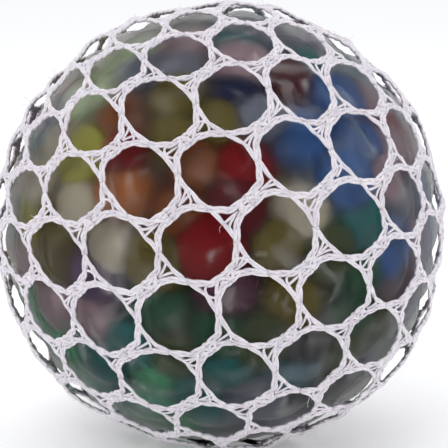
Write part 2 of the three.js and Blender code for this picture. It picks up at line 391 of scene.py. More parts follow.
class Yarns:
    """Collects tubes and makes one piece of them."""

    def __init__(self, sides=4):
        self.sides = sides
        self.points = []
        self.faces = []
        self.along = []
        self.count = 0

    def add(self, line, out, radius, taper=None):
        n = len(line)
        ahead = np.gradient(line, axis=0)
        ahead /= np.maximum(np.linalg.norm(ahead, axis=1), 1e-12)[:, None]
        side = np.cross(ahead, out)
        side /= np.maximum(np.linalg.norm(side, axis=1), 1e-12)[:, None]
        rise = np.cross(side, ahead)
        width = np.full(n, radius) if taper is None else radius * taper
        turn = np.arange(self.sides) * 2 * math.pi / self.sides
        ring = (
            side[:, None, :] * np.cos(turn)[None, :, None]
            + rise[:, None, :] * np.sin(turn)[None, :, None]
        )
        points = line[:, None, :] + ring * width[:, None, None]
        self.points.append(points.reshape(-1, 3))
        first = self.count + np.arange(n - 1)[:, None] * self.sides
        now = np.arange(self.sides)[None, :]
        following = (now + 1) % self.sides
        quads = np.stack(
            [first + now, first + following, first + self.sides + following, first + self.sides + now],
            axis=2,
        )
        self.faces += quads.reshape(-1, 4).tolist()
        self.faces.append(list(range(self.count + self.sides - 1, self.count - 1, -1)))
        last = self.count + (n - 1) * self.sides
        self.faces.append(list(range(last, last + self.sides)))
        self.count += n * self.sides

    def piece(self, name, material):
        points = np.vstack(self.points)
        points[:, 2] = np.maximum(points[:, 2], ABOVE_TABLE)
        mesh = bpy.data.meshes.new(name)
        mesh.from_pydata(points.tolist(), [], self.faces)
        mesh.shade_smooth()
        mesh.materials.append(material)
        obj = bpy.data.objects.new(name, mesh)
        bpy.context.scene.collection.objects.link(obj)
        only(obj)
        bpy.ops.object.mode_set(mode="EDIT")
        bpy.ops.mesh.select_all(action="SELECT")
        bpy.ops.mesh.normals_make_consistent(inside=False)
        bpy.ops.object.mode_set(mode="OBJECT")
        triangles = sum(len(f.vertices) - 2 for f in mesh.polygons)
        print(name, "has", triangles, "triangles")
        return obj


# %% The knitted fibre's material
net_white, tree, shader = new_material("white_yarn")
where = tree.nodes.new("ShaderNodeTexCoord")
mottle = tree.nodes.new("ShaderNodeTexNoise")
mottle.inputs["Scale"].default_value = 900
mottle.inputs["Detail"].default_value = 3
tone = tree.nodes.new("ShaderNodeValToRGB")
tone.color_ramp.elements[0].position = 0.3
tone.color_ramp.elements[0].color = (0.72, 0.67, 0.73, 1)
tone.color_ramp.elements[1].position = 0.62
tone.color_ramp.elements[1].color = (0.86, 0.82, 0.865, 1)
fuzz = tree.nodes.new("ShaderNodeTexNoise")
fuzz.inputs["Scale"].default_value = 4000
bump = tree.nodes.new("ShaderNodeBump")
bump.inputs["Strength"].default_value = 0.35
bump.inputs["Distance"].default_value = 0.1 * MM
tree.links.new(where.outputs["Object"], mottle.inputs["Vector"])
tree.links.new(where.outputs["Object"], fuzz.inputs["Vector"])
tree.links.new(mottle.outputs["Fac"], tone.inputs["Fac"])
tree.links.new(tone.outputs["Color"], shader.inputs["Base Color"])
tree.links.new(fuzz.outputs["Fac"], bump.inputs["Height"])
tree.links.new(bump.outputs["Normal"], shader.inputs["Normal"])
shader.inputs["Roughness"].default_value = 0.8
shader.inputs["Sheen Weight"].default_value = 0.15
print("net material ready")

# %% [markdown]
# ## The chains at a junction
#
# A junction is where a thick strand parts into two thin ones. Two chains run side by side down
# the thick strand and swing apart, one into each thin strand. Loose yarns bridge the fork, which
# leaves the little three-cornered windows, and short rungs tie the pair together, which leaves
# the dark slits. Each junction is made from the middle of its strands, so neighbours meet there.

# %% Lay the yarns of one junction
JITTER = random.Random(11)
CHAIN_APART = 0.52 * MM / NET_R
THICK_SWING = 0.34 * MM
THIN_SWING = 0.27 * MM
CHAIN_TURNS = 5 / 6
CHAIN_RISE = 0.1 * MM
CORNER_PUSH = 0.2
BRIDGE_SWINGS = (0.1 * MM, 0.14 * MM)
CROSSING_RISE = 0.1 * MM
CROSSING_R = YARN_R * 0.8
FLAT_MM = MM / NET_R
moved_corners = {}


def corner(i, j, k):
    """Where a cell meets its neighbours k and k + 1, pushed about a little as in real cloth."""
    (a0, a1), (b0, b1) = AROUND[k], AROUND[(k + 1) % 6]
    key = (3 * i + a0 + b0, 3 * j + a1 + b1)
    if key not in moved_corners:
        push = np.array([JITTER.gauss(0, CORNER_PUSH), JITTER.gauss(0, CORNER_PUSH)]) * FLAT_MM
        moved_corners[key] = flat(key[0] / 3, key[1] / 3) + push
    return moved_corners[key]


def chain(yarns, points, turns, steps, strands, swings):
    """A chain of winding yarns along points of the flat cloth."""
    q = smooth_line(np.array(points), steps)
    line, out = wrapped(q)
    ahead = np.gradient(line, axis=0)
    ahead /= np.linalg.norm(ahead, axis=1)[:, None]
    side = np.cross(ahead, out)
    side /= np.linalg.norm(side, axis=1)[:, None]
    phase = np.linspace(0, 2 * math.pi * turns, steps)
    slim = np.linspace(*swings, steps)
    for strand in range(strands):
        at = phase + 2 * math.pi * strand / strands
        swing = np.sin(at) * slim
        over = np.sin(2 * at) * CHAIN_RISE
        yarns.add(line + side * swing[:, None] + out * over[:, None], out, YARN_R)


def single(yarns, points, steps, height, radius):
    """One yarn along points of the flat cloth, arched up in its middle."""
    q = smooth_line(np.array(points), steps)
    line, out = wrapped(q)
    arch = np.sin(np.linspace(0, math.pi, steps)) * height
    yarns.add(line + out * arch[:, None], out, radius)


def junction(yarns, fork, pillar_end, thin_ends, fine, sign):
    """fork is the place, pillar_end and thin_ends the far ends of its three strands."""
    pillar = pillar_end - fork
    pillar_long = np.linalg.norm(pillar)
    p = pillar / pillar_long
    steps = 13 if fine else 8
    strands = 3 if fine else 2
    mid_pillar = (fork + pillar_end) / 2
    for end, other in (thin_ends, thin_ends[::-1]):
        thin = end - fork
        a = thin / np.linalg.norm(thin)
        away = a - p * (a @ p)
        away /= np.linalg.norm(away)
        bow = p - a * (a @ p)
        bow /= np.linalg.norm(bow)
        points = [
            mid_pillar + away * CHAIN_APART,
            fork + p * 1.7 * FLAT_MM + away * CHAIN_APART * 1.1,
            fork + p * 0.5 * FLAT_MM + away * CHAIN_APART * 1.6,
            fork + a * 1.6 * FLAT_MM + bow * 0.4 * FLAT_MM,
            (fork + end) / 2,
        ]
        chain(yarns, points, sign * CHAIN_TURNS, steps, strands, (THICK_SWING, THIN_SWING))
    a, b = [(end - fork) / np.linalg.norm(end - fork) for end in thin_ends]
    inner_a = -(p - a * (a @ p))
    inner_a /= np.linalg.norm(inner_a)
    inner_b = -(p - b * (b @ p))
    inner_b /= np.linalg.norm(inner_b)
    reach = JITTER.uniform(2.7, 3.6)
    depth = JITTER.uniform(0.95, 1.4)
    unit = FLAT_MM
    bridge = [
        fork + (a * reach + inner_a * 0.1) * unit,
        fork + (a * 1.7 + inner_a * 0.45) * unit,
        fork - p * depth * unit,
        fork + (b * 1.7 + inner_b * 0.45) * unit,
        fork + (b * reach + inner_b * 0.1) * unit,
    ]
    chain(yarns, bridge, 1, 11 if fine else 7, 2 if fine else 1, BRIDGE_SWINGS)
    if not fine:
        return
    crossings = [
        [fork + p * 1.2 * unit, fork - p * 0.2 * unit, fork - p * (depth + 0.1) * unit],
        [
            fork + p * 0.9 * unit,
            fork + (a * 0.5 - p * 0.2) * unit,
            fork + (a * 1.3 + inner_a * 0.6) * unit,
        ],
        [
            fork + p * 0.9 * unit,
            fork + (b * 0.5 - p * 0.2) * unit,
            fork + (b * 1.3 + inner_b * 0.6) * unit,
        ],
        [
            fork + (a * 0.9 - inner_a * 0.3) * unit,
            fork + (a * 1.0 + b * 0.5) * unit,
            fork + (b * 2.1 + inner_b * 0.3) * unit,
        ],
        [
            fork + (b * 0.9 - inner_b * 0.3) * unit,
            fork + (b * 1.0 + a * 0.5) * unit,
            fork + (a * 2.2 + inner_a * 0.3) * unit,
        ],
    ]
    JITTER.shuffle(crossings)
    for points in crossings[: JITTER.choice((2, 2, 3))]:
        single(yarns, points, 6, CROSSING_RISE, CROSSING_R)


RUNG_RISE = 0.05 * MM
FILLER_RISE = 0.16 * MM
FILLER_HALF = 0.75 * FLAT_MM


def rungs(yarns, one, two, fine):
    """Short yarns that tie the pair of chains of a thick strand together."""
    length = np.linalg.norm(two - one)
    p = (two - one) / length
    side = np.array([-p[1], p[0]])
    count = JITTER.choice((2, 3, 3)) if fine else 1
    for n in range(count):
        from_share = 0.2 + 0.6 * (n + JITTER.uniform(0.0, 0.15)) / count
        to_share = 0.2 + 0.6 * (n + JITTER.uniform(0.6, 0.9)) / count
        middle = JITTER.uniform(-0.12, 0.12) * side * FLAT_MM
        points = [one + p * length * from_share, one + p * length * to_share]
        points = [points[0], (points[0] + points[1]) / 2 + middle, points[1]]
        single(yarns, points, 5, RUNG_RISE, YARN_R)
        share = (n + 0.5 + JITTER.uniform(-0.3, 0.3)) / count
        at = one + p * length * (0.12 + 0.76 * share)
        lean = p * JITTER.uniform(0.4, 0.9) * FLAT_MM
        if n % 2:
            lean = -lean
        points = [
            at - side * FILLER_HALF - lean,
            at + lean * 0.2,
            at + side * FILLER_HALF + lean,
        ]
        single(yarns, points, 5, FILLER_RISE, YARN_R)


# %% Knit the whole cloth
REACH = 14
FRONT_TO = 1.25
FINE_TO = 2.15
PAST_EDGE = 0.3
net_yarns = {"net_front": Yarns(), "net_side": Yarns(), "net_gather": Yarns()}
forks = 0
for i in range(-REACH, REACH + 1):
    for j in range(-REACH, REACH + 1):
        here = flat(i, j)
        if np.linalg.norm(here) > CLOTH_R + PAST_EDGE:
            continue
        upper = [corner(i, j, k) for k in (0, 1)]
        # the thick strand between this cell and its (1, 1) neighbour
        other_thin = {
            0: [corner(i, j, 5), corner(i + 1, j, 1)],
            1: [corner(i, j, 2), corner(i, j + 1, 0)],
        }
        for end in (0, 1):
            fork = upper[end]
            points = [fork, upper[1 - end], *other_thin[end]]
            radius = max(np.linalg.norm(p) for p in points)
            if radius > CLOTH_R:
                continue
            distance = np.linalg.norm(fork)
            group = "net_front" if distance < FRONT_TO else "net_side"
            group = group if distance < FINE_TO else "net_gather"
            fine = distance < FINE_TO
            junction(
                net_yarns[group], fork, upper[1 - end], other_thin[end], fine, 1 if end else -1
            )
            forks += 1
            if end == 0:
                rungs(net_yarns[group], fork, upper[1], fine)
print("forks in the net:", forks)

# %% Make the net's pieces
net_pieces = [yarns.piece(name, net_white) for name, yarns in net_yarns.items()]

# %% [markdown]
# ## The cut ends in the gather
#
# Behind the tie the cut edge of the cloth stands out as a small brush. Its ends fill the middle
# of the tuft too, so more yarns run through the tie and spread, each a little differently.

# %% Yarn ends inside the tuft
TUFT_YARNS = 170
end_of = random.Random(41)
ends = Yarns()
for _ in range(TUFT_YARNS):
    angle = end_of.uniform(0, 2 * math.pi)
    side = np.array([math.cos(angle), 0, math.sin(angle)])
    across = math.sqrt(end_of.random())
    sway = np.array([end_of.gauss(0, 0.5), 0, end_of.gauss(0, 0.5)]) * MM
    last = TAIL_END - end_of.uniform(0.2, 2.2) * MM
    stops = np.array(
        [
            CENTRE + side * across * NECK_R + [0, TIE_Y - 1.8 * MM, 0],
            CENTRE + side * across * NECK_R * 0.95 + [0, TIE_Y + 1.4 * MM, 0],
            CENTRE + side * across * (NECK_R + TAIL_R) / 2 + sway / 2 + [0, (TIE_Y + last) / 2, 0],
            CENTRE + side * across * TAIL_R * 0.9 + sway + [0, last, 0],
        ]
    )
    line = smooth_line(stops, 9)
    ends.add(line, np.tile(side, (len(line), 1)), YARN_R)
net_tuft = ends.piece("net_tuft", net_white)

# %% [markdown]
# ## Stray fibres
#
# The yarn is brushed, so fine single fibres stand out of it all over. They are hair-thin tubes
# that start in a strand and curl away, swept like the yarns. A particle system would need a
# modifier for something this small.

# %% Fine fibres that stand out of the net
FIBRES = 420
FIBRE_R = 0.028 * MM
fibre_of = random.Random(23)
fibres = Yarns(sides=3)
starts = list(moved_corners.values())
for _ in range(FIBRES):
    start = fibre_of.choice(starts)
    if np.linalg.norm(start) > FINE_TO:
        continue
    heading = fibre_of.uniform(0, 2 * math.pi)
    bend = fibre_of.uniform(-1.2, 1.2)
    long = fibre_of.uniform(0.7, 2.6) * FLAT_MM
    start = start + np.array([fibre_of.gauss(0, 0.5), fibre_of.gauss(0, 0.5)]) * FLAT_MM
    points = [start]
    for n in range(1, 5):
        turn = heading + bend * n / 2
        points.append(points[-1] + np.array([math.cos(turn), math.sin(turn)]) * long / 4)
    line, out = wrapped(np.array(points))
    rise = np.linspace(0, 1, 5) ** 1.5 * fibre_of.uniform(0.3, 1.6) * MM
    fibres.add(line + out * rise[:, None], out, FIBRE_R)
net_pieces += [net_tuft, fibres.piece("net_fibres", net_white)]

# %% [markdown]
# ## Clear rubber
#
# Thin rubber lets light through, blurs it and shines a little. Very rough glass with a thin
# smooth coat does that. Only its outer face bends the light: the water behind it bends
# light just as much, so the inner face carries nothing but faint grey streaks, partly the
# rubber's own cloudiness and partly painted glints. Glass throws a
# hard shadow in a path tracer, which would leave the beads black, so rays to the lamps pass it.

# %% Rubber material
clear_rubber, tree, shader = new_material("clear_rubber")
shader.inputs["Base Color"].default_value = (0.97, 0.97, 0.97, 1)
shader.inputs["Transmission Weight"].default_value = 1
shader.inputs["IOR"].default_value = 1.33
shader.inputs["Roughness"].default_value = 0.8
shader.inputs["Specular Tint"].default_value = (0.08, 0.08, 0.08, 1)
shader.inputs["Coat Weight"].default_value = 0.1
shader.inputs["Coat Roughness"].default_value = 0.06
shader.inputs["Coat IOR"].default_value = 1.4
output = tree.nodes["Material Output"]
ray = tree.nodes.new("ShaderNodeLightPath")
through = tree.nodes.new("ShaderNodeBsdfTransparent")
through.inputs["Color"].default_value = (0.93, 0.93, 0.93, 1)
mixed = tree.nodes.new("ShaderNodeMixShader")
tree.links.new(ray.outputs["Is Shadow Ray"], mixed.inputs["Fac"])
tree.links.new(shader.outputs["BSDF"], mixed.inputs[1])
tree.links.new(through.outputs["BSDF"], mixed.inputs[2])
tree.links.new(mixed.outputs["Shader"], output.inputs["Surface"])
print("rubber ready")

# %% Grey streaks on the inside of the rubber: partly cloudiness, partly painted glints
cloud_and_glints, tree, shader = new_material("cloudy_inside_and_painted_glints")
where = tree.nodes.new("ShaderNodeTexCoord")
streak = tree.nodes.new("ShaderNodeTexNoise")
streak.inputs["Scale"].default_value = 210
streak.inputs["Detail"].default_value = 3
streak.inputs["Distortion"].default_value = 1.2
patch = tree.nodes.new("ShaderNodeTexNoise")
patch.inputs["Scale"].default_value = 55
amount = tree.nodes.new("ShaderNodeMapRange")
amount.inputs["From Min"].default_value = 0.5
amount.inputs["From Max"].default_value = 0.72
amount.inputs["To Max"].default_value = 0.34
where_streaks_show = tree.nodes.new("ShaderNodeMapRange")
where_streaks_show.inputs["From Min"].default_value = 0.42
where_streaks_show.inputs["From Max"].default_value = 0.6
cover = tree.nodes.new("ShaderNodeMath")
cover.operation = "MULTIPLY"
tree.links.new(where.outputs["Object"], streak.inputs["Vector"])
tree.links.new(where.outputs["Object"], patch.inputs["Vector"])
tree.links.new(streak.outputs["Fac"], amount.inputs["Value"])
tree.links.new(patch.outputs["Fac"], where_streaks_show.inputs["Value"])
tree.links.new(amount.outputs["Result"], cover.inputs[0])
tree.links.new(where_streaks_show.outputs["Result"], cover.inputs[1])
# The grey streaks are partly the rubber's own cloudiness and partly painted glints that stand in for
# light shining off the skin.
tree.links.new(cover.outputs["Value"], shader.inputs["Alpha"])
shader.inputs["Base Color"].default_value = (0.5, 0.49, 0.48, 1)
shader.inputs["Roughness"].default_value = 0.9
shader.inputs["Specular IOR Level"].default_value = 0
print("bloom ready")

# %% [markdown]
# ## The rubber skin
#
# The skin is a thin clear balloon. Pressed by the water, it swells a little into every hole and
# is held back under the strands. It starts as an ico sphere, because that has no poles to pinch.
# Each corner is moved out or in by where it lies in the honeycomb, and a Solidify modifier gives
# the wall. At the back the rubber turns inwards as a short sleeve, which the plug closes.

# %% How far the skin swells at a point
INVERSE_TO = 3.4
INVERSE_STEPS = 700
inverse_r = np.linspace(0, INVERSE_TO, INVERSE_STEPS)
inverse_turn = spread(inverse_r)
TO_CELLS = np.linalg.inv(np.stack([ACROSS, DOWN], axis=1))
HOLE_HALF = 5.1 * MM / NET_R
SWELL_STOPS = {"from": 1.9, "over": 0.5}


def swell(directions):
    """0 under the strands to 1 in the middle of a hole."""
    turn = np.arccos(np.clip(-directions[:, 1], -1, 1))
    r = np.interp(turn, inverse_turn, inverse_r)
    side = directions[:, [0, 2]]
    side = side / np.maximum(np.linalg.norm(side, axis=1), 1e-9)[:, None]
    q = side * r[:, None] - FIRST
    cells = np.round(q @ TO_CELLS.T)
    nearest = np.full(len(q), np.inf)
    for di in (-1, 0, 1):
        for dj in (-1, 0, 1):
            middle = (cells + [di, dj]) @ np.stack([ACROSS, DOWN])
            nearest = np.minimum(nearest, np.linalg.norm(q - middle, axis=1))
    inside = np.clip(1 - nearest / HOLE_HALF, 0, 1)
    gathered = np.clip((r - SWELL_STOPS["from"]) / SWELL_STOPS["over"], 0, 1)
    return inside * (2 - inside) * (1 - gathered)


# %% Model the skin
SKIN_WALL = 0.6 * MM
SWELL_OUT = 0.75 * MM
SUNK = 0.1 * MM
SLEEVE_R = 2.4 * MM
SLEEVE_LONG = 5 * MM
SLEEVE_INSET = 0.3 * MM
nothing_selected()
bpy.ops.mesh.primitive_ico_sphere_add(subdivisions=7, radius=SKIN_R, location=CENTRE)
skin = bpy.context.object
skin.name = "rubber_skin"
settle(skin)
co = np.array([v.co for v in skin.data.vertices]) - CENTRE
direction = co / np.linalg.norm(co, axis=1)[:, None]
radius = SKIN_R - SUNK + swell(direction) * SWELL_OUT
moved = direction * radius[:, None] + CENTRE
skin.data.vertices.foreach_set("co", moved.ravel())
bpy.ops.object.mode_set(mode="EDIT")
bpy.ops.mesh.select_all(action="DESELECT")
shape = bmesh.from_edit_mesh(skin.data)
for face in shape.faces:
    from_middle = face.calc_center_median() - Vector(CENTRE)
    if from_middle.y > 0 and math.hypot(from_middle.x, from_middle.z) < SLEEVE_R - SLEEVE_INSET:
        face.select_set(True)
bmesh.update_edit_mesh(skin.data)
bpy.ops.mesh.extrude_region_move(TRANSFORM_OT_translate={"value": (0, -SLEEVE_LONG, 0)})
bpy.ops.mesh.delete(type="FACE")
bpy.ops.object.mode_set(mode="OBJECT")
skin.data.materials.append(clear_rubber)
skin.data.materials.append(cloud_and_glints)
wall = skin.modifiers.new("wall", "SOLIDIFY")
wall.thickness = SKIN_WALL
wall.offset = -1
wall.material_offset = 1
wall.material_offset_rim = 1
bpy.ops.object.modifier_apply(modifier="wall")
skin.data.shade_smooth()
print("skin triangles:", sum(len(f.vertices) - 2 for f in skin.data.polygons))

# %% [markdown]
# ## Beads of soft gel
#
# The beads are soaked gel balls. They are packed so tightly that they press flat against each
# other and the skin. The gel has nearly the same bend of light as water, so a bead has no hard
# edge: its colour is deepest where the bead is thickest, and fades towards its rim.

# %% Gel colours
GEL_COLOURS = {
    "red": (0.12, 0.003, 0.005),
    "crimson": (0.15, 0.01, 0.02),
    "maroon": (0.06, 0.005, 0.008),
    "rust": (0.12, 0.035, 0.01),
    "orange": (0.22, 0.07, 0.02),
    "yellow": (0.2, 0.19, 0.03),
    "olive": (0.075, 0.058, 0.012),
    "moss": (0.03, 0.04, 0.015),
    "lime": (0.28, 0.36, 0.2),
    "green": (0.03, 0.2, 0.09),
    "forest": (0.008, 0.045, 0.02),
    "jade": (0.08, 0.24, 0.17),
    "teal": (0.004, 0.078, 0.078),
    "sky": (0.05, 0.12, 0.16),
    "blue": (0.025, 0.07, 0.19),
    "navy": (0.006, 0.008, 0.03),
    "violet": (0.07, 0.045, 0.09),
    "plum": (0.055, 0.02, 0.035),
    "slate": (0.09, 0.1, 0.13),
    "pearl": (0.27, 0.24, 0.18),
    "mauve": (0.22, 0.15, 0.17),
    # Smoke is near black; in the deep shells it is painted shade.
    "smoke": (0.018, 0.019, 0.022),
}


def gel_pattern():
    """A node group: a gel colour with paler, milky patches."""
    group = bpy.data.node_groups.new("gel", "ShaderNodeTree")
    group.interface.new_socket("Gel", in_out="INPUT", socket_type="NodeSocketColor")
    group.interface.new_socket("Cloud", in_out="INPUT", socket_type="NodeSocketFloat")
    group.interface.new_socket("Color", in_out="OUTPUT", socket_type="NodeSocketColor")
    nodes, links = group.nodes, group.links
    given = nodes.new("NodeGroupInput")
    made = nodes.new("NodeGroupOutput")
    where = nodes.new("ShaderNodeTexCoord")
    cloud = nodes.new("ShaderNodeTexNoise")
    cloud.inputs["Scale"].default_value = 220
    cloud.inputs["Detail"].default_value = 2
    cloud.inputs["Distortion"].default_value = 0.8
    spread_out = nodes.new("ShaderNodeMapRange")
    spread_out.inputs["From Min"].default_value = 0.48
    spread_out.inputs["From Max"].default_value = 0.8
    amount = nodes.new("ShaderNodeMath")
    amount.operation = "MULTIPLY"
    milk = nodes.new("ShaderNodeMix")
    milk.data_type = "RGBA"
    milk.inputs[7].default_value = (0.45, 0.43, 0.4, 1)
    links.new(where.outputs["Object"], cloud.inputs["Vector"])
    links.new(cloud.outputs["Fac"], spread_out.inputs["Value"])
    links.new(spread_out.outputs["Result"], amount.inputs[0])
    links.new(given.outputs["Cloud"], amount.inputs[1])
    links.new(amount.outputs["Value"], milk.inputs[0])
    links.new(given.outputs["Gel"], milk.inputs[6])
    links.new(milk.outputs[2], made.inputs["Color"])
    return group


GEL = gel_pattern()


def gel_material(name, value):
    material, tree, shader = new_material("gel_" + name)
    gel = tree.nodes.new("ShaderNodeGroup")
    gel.node_tree = GEL
    gel.inputs["Gel"].default_value = (*value, 1)
    gel.inputs["Cloud"].default_value = 0.2
    facing = tree.nodes.new("ShaderNodeLayerWeight")
    facing.inputs["Blend"].default_value = 0.5
    depth = tree.nodes.new("ShaderNodeMapRange")
    depth.interpolation_type = "SMOOTHSTEP"
    depth.inputs["From Min"].default_value = 0.9
    depth.inputs["From Max"].default_value = 0.15
    depth.inputs["To Min"].default_value = 0.05
    tree.links.new(gel.outputs["Color"], shader.inputs["Base Color"])
    tree.links.new(facing.outputs["Facing"], depth.inputs["Value"])
    tree.links.new(depth.outputs["Result"], shader.inputs["Alpha"])
    shader.inputs["Roughness"].default_value = 0.5
    shader.inputs["Specular IOR Level"].default_value = 0
    return material


gel_materials = {name: gel_material(name, value) for name, value in GEL_COLOURS.items()}
print("gel colours:", len(gel_materials))

# %% [markdown]
# ## Where the beads lie
#
# The imported model has the beads that press on the skin. Between and behind them lie hundreds
# more, which only show as patches of colour, so they need no body. They are spread on shells by
# the golden angle, which spaces points evenly. The colours of a real ball lie in loose drifts, so
# at the front each bead takes its colour from the nearest of a few broad zones, and deeper or
# further back from a plain mix. The mixes grow darker shell by shell towards the middle, down to
# near-black smoke: painted shade for the depths of the ball. A seeded shuffle picks from the zone or
# the mix.

# %% Colour zones of the front, by angles to the right and up from its middle
ZONES = [
    {"right": -20, "up": 35, "mix": ["rust", "red", "olive", "maroon"]},
    {"right": -65, "up": 30, "mix": ["lime", "yellow", "pearl"]},
    {"right": -40, "up": 5, "mix": ["mauve", "rust", "olive", "pearl"]},
    {"right": 15, "up": 35, "mix": ["navy", "blue", "slate", "mauve"]},
    {"right": 0, "up": 65, "mix": ["slate", "plum", "mauve", "teal"]},
    {"right": 20, "up": 0, "mix": ["olive", "moss", "forest"]},
    {"right": 55, "up": 15, "mix": ["slate", "mauve", "blue"]},
    {"right": -15, "up": -20, "mix": ["forest", "plum", "moss"]},
    {"right": -40, "up": -40, "mix": ["teal", "jade", "green"]},
    {"right": 30, "up": -40, "mix": ["smoke", "slate", "moss"]},
]
FRONT_UNTIL = -0.1


def toward(right_by, up_by):
    """The direction that lies so many degrees to the right and up from the ball's front."""
    turned, raised = math.radians(right_by), math.radians(up_by)
    level = math.cos(raised)
    return np.array([math.sin(turned) * level, -math.cos(turned) * level, math.sin(raised)])


ZONE_WAYS = np.array([toward(zone["right"], zone["up"]) for zone in ZONES])
print("zones:", len(ZONES))

# %% Beads that have a body, and one big red one that shows in the middle
BIG_RED = {"right": -10, "up": 5, "distance": 26.5 * MM, "radius": 5.6 * MM}
BEAD_R = 4.9 * MM
names = sorted(n for n in frame["nodes"] if n.startswith("bead_"))
places = []
for name in names:
    low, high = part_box(name)
    places.append((np.array(low) + np.array(high)) / 2)
radii = [BEAD_R] * len(names)
colours = [name.split("_")[2] for name in names]
with_body = len(names)
places.append(CENTRE + toward(BIG_RED["right"], BIG_RED["up"]) * BIG_RED["distance"])
radii.append(BIG_RED["radius"])
colours.append("red")
print("beads with a body:", with_body)

# %% Beads that fill the ball between and behind those
DRIFT = ["olive", "moss", "plum", "forest", "slate", "violet", "teal", "rust"]
# Each shell's mix is darker than the one outside it, and the middle holds only near-black smoke:
# painted shade for the inside of the ball.
SHELLS = [
    {"distance": 27.0, "tries": 900, "gap": 5.0, "mix": DRIFT},
    {"distance": 20.5, "tries": 300, "gap": 5.8, "mix": ["navy", "teal", "forest", "plum", "olive"]},
    {"distance": 13.5, "tries": 120, "gap": 6.6, "mix": ["smoke", "navy", "plum", "forest"]},
    {"distance": 5.0, "tries": 30, "gap": 7.0, "mix": ["smoke"]},
]
SLEEVE_AT = CENTRE + np.array([0, 28 * MM, 0])
SLEEVE_CLEAR = 8 * MM
SMALLER_BY = 1.2 * MM
GOLDEN = math.pi * (3 - math.sqrt(5))
shuffle = random.Random(3)
outer_until = len(places)
for shell in SHELLS:
    for n in range(shell["tries"]):
        height = 1 - 2 * (n + 0.5) / shell["tries"]
        across = math.sqrt(1 - height**2)
        turn = n * GOLDEN
        way = np.array([across * math.cos(turn), height, across * math.sin(turn)])
        spot = way * shell["distance"] * MM + CENTRE
        near = np.linalg.norm(np.array(places) - spot, axis=1).min()
        if near < shell["gap"] * MM or np.linalg.norm(spot - SLEEVE_AT) < SLEEVE_CLEAR:
            continue
        mix = shell["mix"]
        if shell is SHELLS[0] and way[1] < FRONT_UNTIL:
            mix = ZONES[int(np.argmax(ZONE_WAYS @ way))]["mix"]
        places.append(spot)
        radii.append(min(near - SMALLER_BY, BEAD_R))
        colours.append(shuffle.choice(mix))
    if shell is SHELLS[0]:
        outer_until = len(places)
places = np.array(places)
radii = np.array(radii)
print("beads in all:", len(places))

# %% Press each bead against its neighbours and the skin
WATER_UNDER_SKIN = 0.7 * MM
INSIDE_R = SKIN_R - SKIN_WALL - WATER_UNDER_SKIN
FILM = 0.03 * MM
BODY_LEVELS = 4
OUTER_LEVELS = 3
INNER_LEVELS = 2


def pressed(n, co):
    """Corners of bead n, flattened half way to each neighbour."""
    apart = places - places[n]
    gap = np.linalg.norm(apart, axis=1)
    for other in np.nonzero((gap > 0) & (gap < radii[n] + radii))[0]:
        toward = apart[other] / gap[other]
        share = (gap[other] ** 2 + radii[n] ** 2 - radii[other] ** 2) / (2 * gap[other])
        beyond = co @ toward - (share - FILM)
        co = co - np.outer(np.maximum(beyond, 0), toward)
    whole = co + places[n] - CENTRE
    out = np.linalg.norm(whole, axis=1)
    whole *= np.minimum(1, INSIDE_R / out)[:, None]
    return whole + CENTRE


def bead(n, name, levels):
    nothing_selected()
    bpy.ops.mesh.primitive_ico_sphere_add(subdivisions=levels, radius=radii[n])
    obj = bpy.context.object
    obj.name = name
    co = np.array([v.co for v in obj.data.vertices])
    obj.data.vertices.foreach_set("co", pressed(n, co).ravel())
    obj.data.shade_smooth()
    obj.data.materials.append(gel_materials[colours[n]])
    return obj


beads = [bead(n, "gel_" + names[n].removeprefix("bead_"), BODY_LEVELS) for n in range(with_body)]
loose = {}
for n in range(with_body, len(places)):
    levels = OUTER_LEVELS if n < outer_until else INNER_LEVELS
    loose.setdefault(colours[n], []).append(bead(n, "loose", levels))
print("beads made:", len(beads), "and", sum(map(len, loose.values())), "loose")

# %% Join the loose beads by colour
loose_pieces = []
for colour, members in sorted(loose.items()):
    nothing_selected()
    for obj in members:
        obj.select_set(True)
    bpy.context.view_layer.objects.active = members[0]
    if len(members) > 1:
        bpy.ops.object.join()
    members[0].name = "loose_beads_" + colour
    loose_pieces.append(members[0])
print("loose pieces:", len(loose_pieces))

# %% [markdown]
# ## The thread that ties the net
#
# The cloth is gathered behind the ball and bound with a few turns of strong thread, ended in a
# knot with two short tails. The thread has two plies twisted together. Both plies are swept as
# tubes round one line, because a twisted pair reads as thread even when it is seen small.

# %% Thread material
thread_white, tree, shader = new_material("twisted_thread")
where = tree.nodes.new("ShaderNodeTexCoord")
hairs = tree.nodes.new("ShaderNodeTexNoise")
hairs.inputs["Scale"].default_value = 2500
hairs.inputs["Detail"].default_value = 3
tone = tree.nodes.new("ShaderNodeValToRGB")
tone.color_ramp.elements[0].position = 0.35
tone.color_ramp.elements[0].color = (0.62, 0.58, 0.62, 1)
tone.color_ramp.elements[1].position = 0.6
tone.color_ramp.elements[1].color = (0.84, 0.81, 0.84, 1)
bump = tree.nodes.new("ShaderNodeBump")
bump.inputs["Strength"].default_value = 0.4
bump.inputs["Distance"].default_value = 0.05 * MM
tree.links.new(where.outputs["Object"], hairs.inputs["Vector"])
tree.links.new(hairs.outputs["Fac"], tone.inputs["Fac"])
tree.links.new(tone.outputs["Color"], shader.inputs["Base Color"])
tree.links.new(hairs.outputs["Fac"], bump.inputs["Height"])
tree.links.new(bump.outputs["Normal"], shader.inputs["Normal"])
shader.inputs["Roughness"].default_value = 0.7
print("thread ready")

# %% Wind the thread and knot it
THREAD_TURNS = 4
WIND_R = (tie_high.x - tie_low.x) / 2 - 0.5 * MM
WIND_LONG = 3 * MM
PLY_R = 0.25 * MM
PLY_APART = 0.2 * MM
TWIST_EVERY = 1.6 * MM
tie_centre = CENTRE + np.array([0, TIE_Y, 0])
thread = Yarns(sides=8)


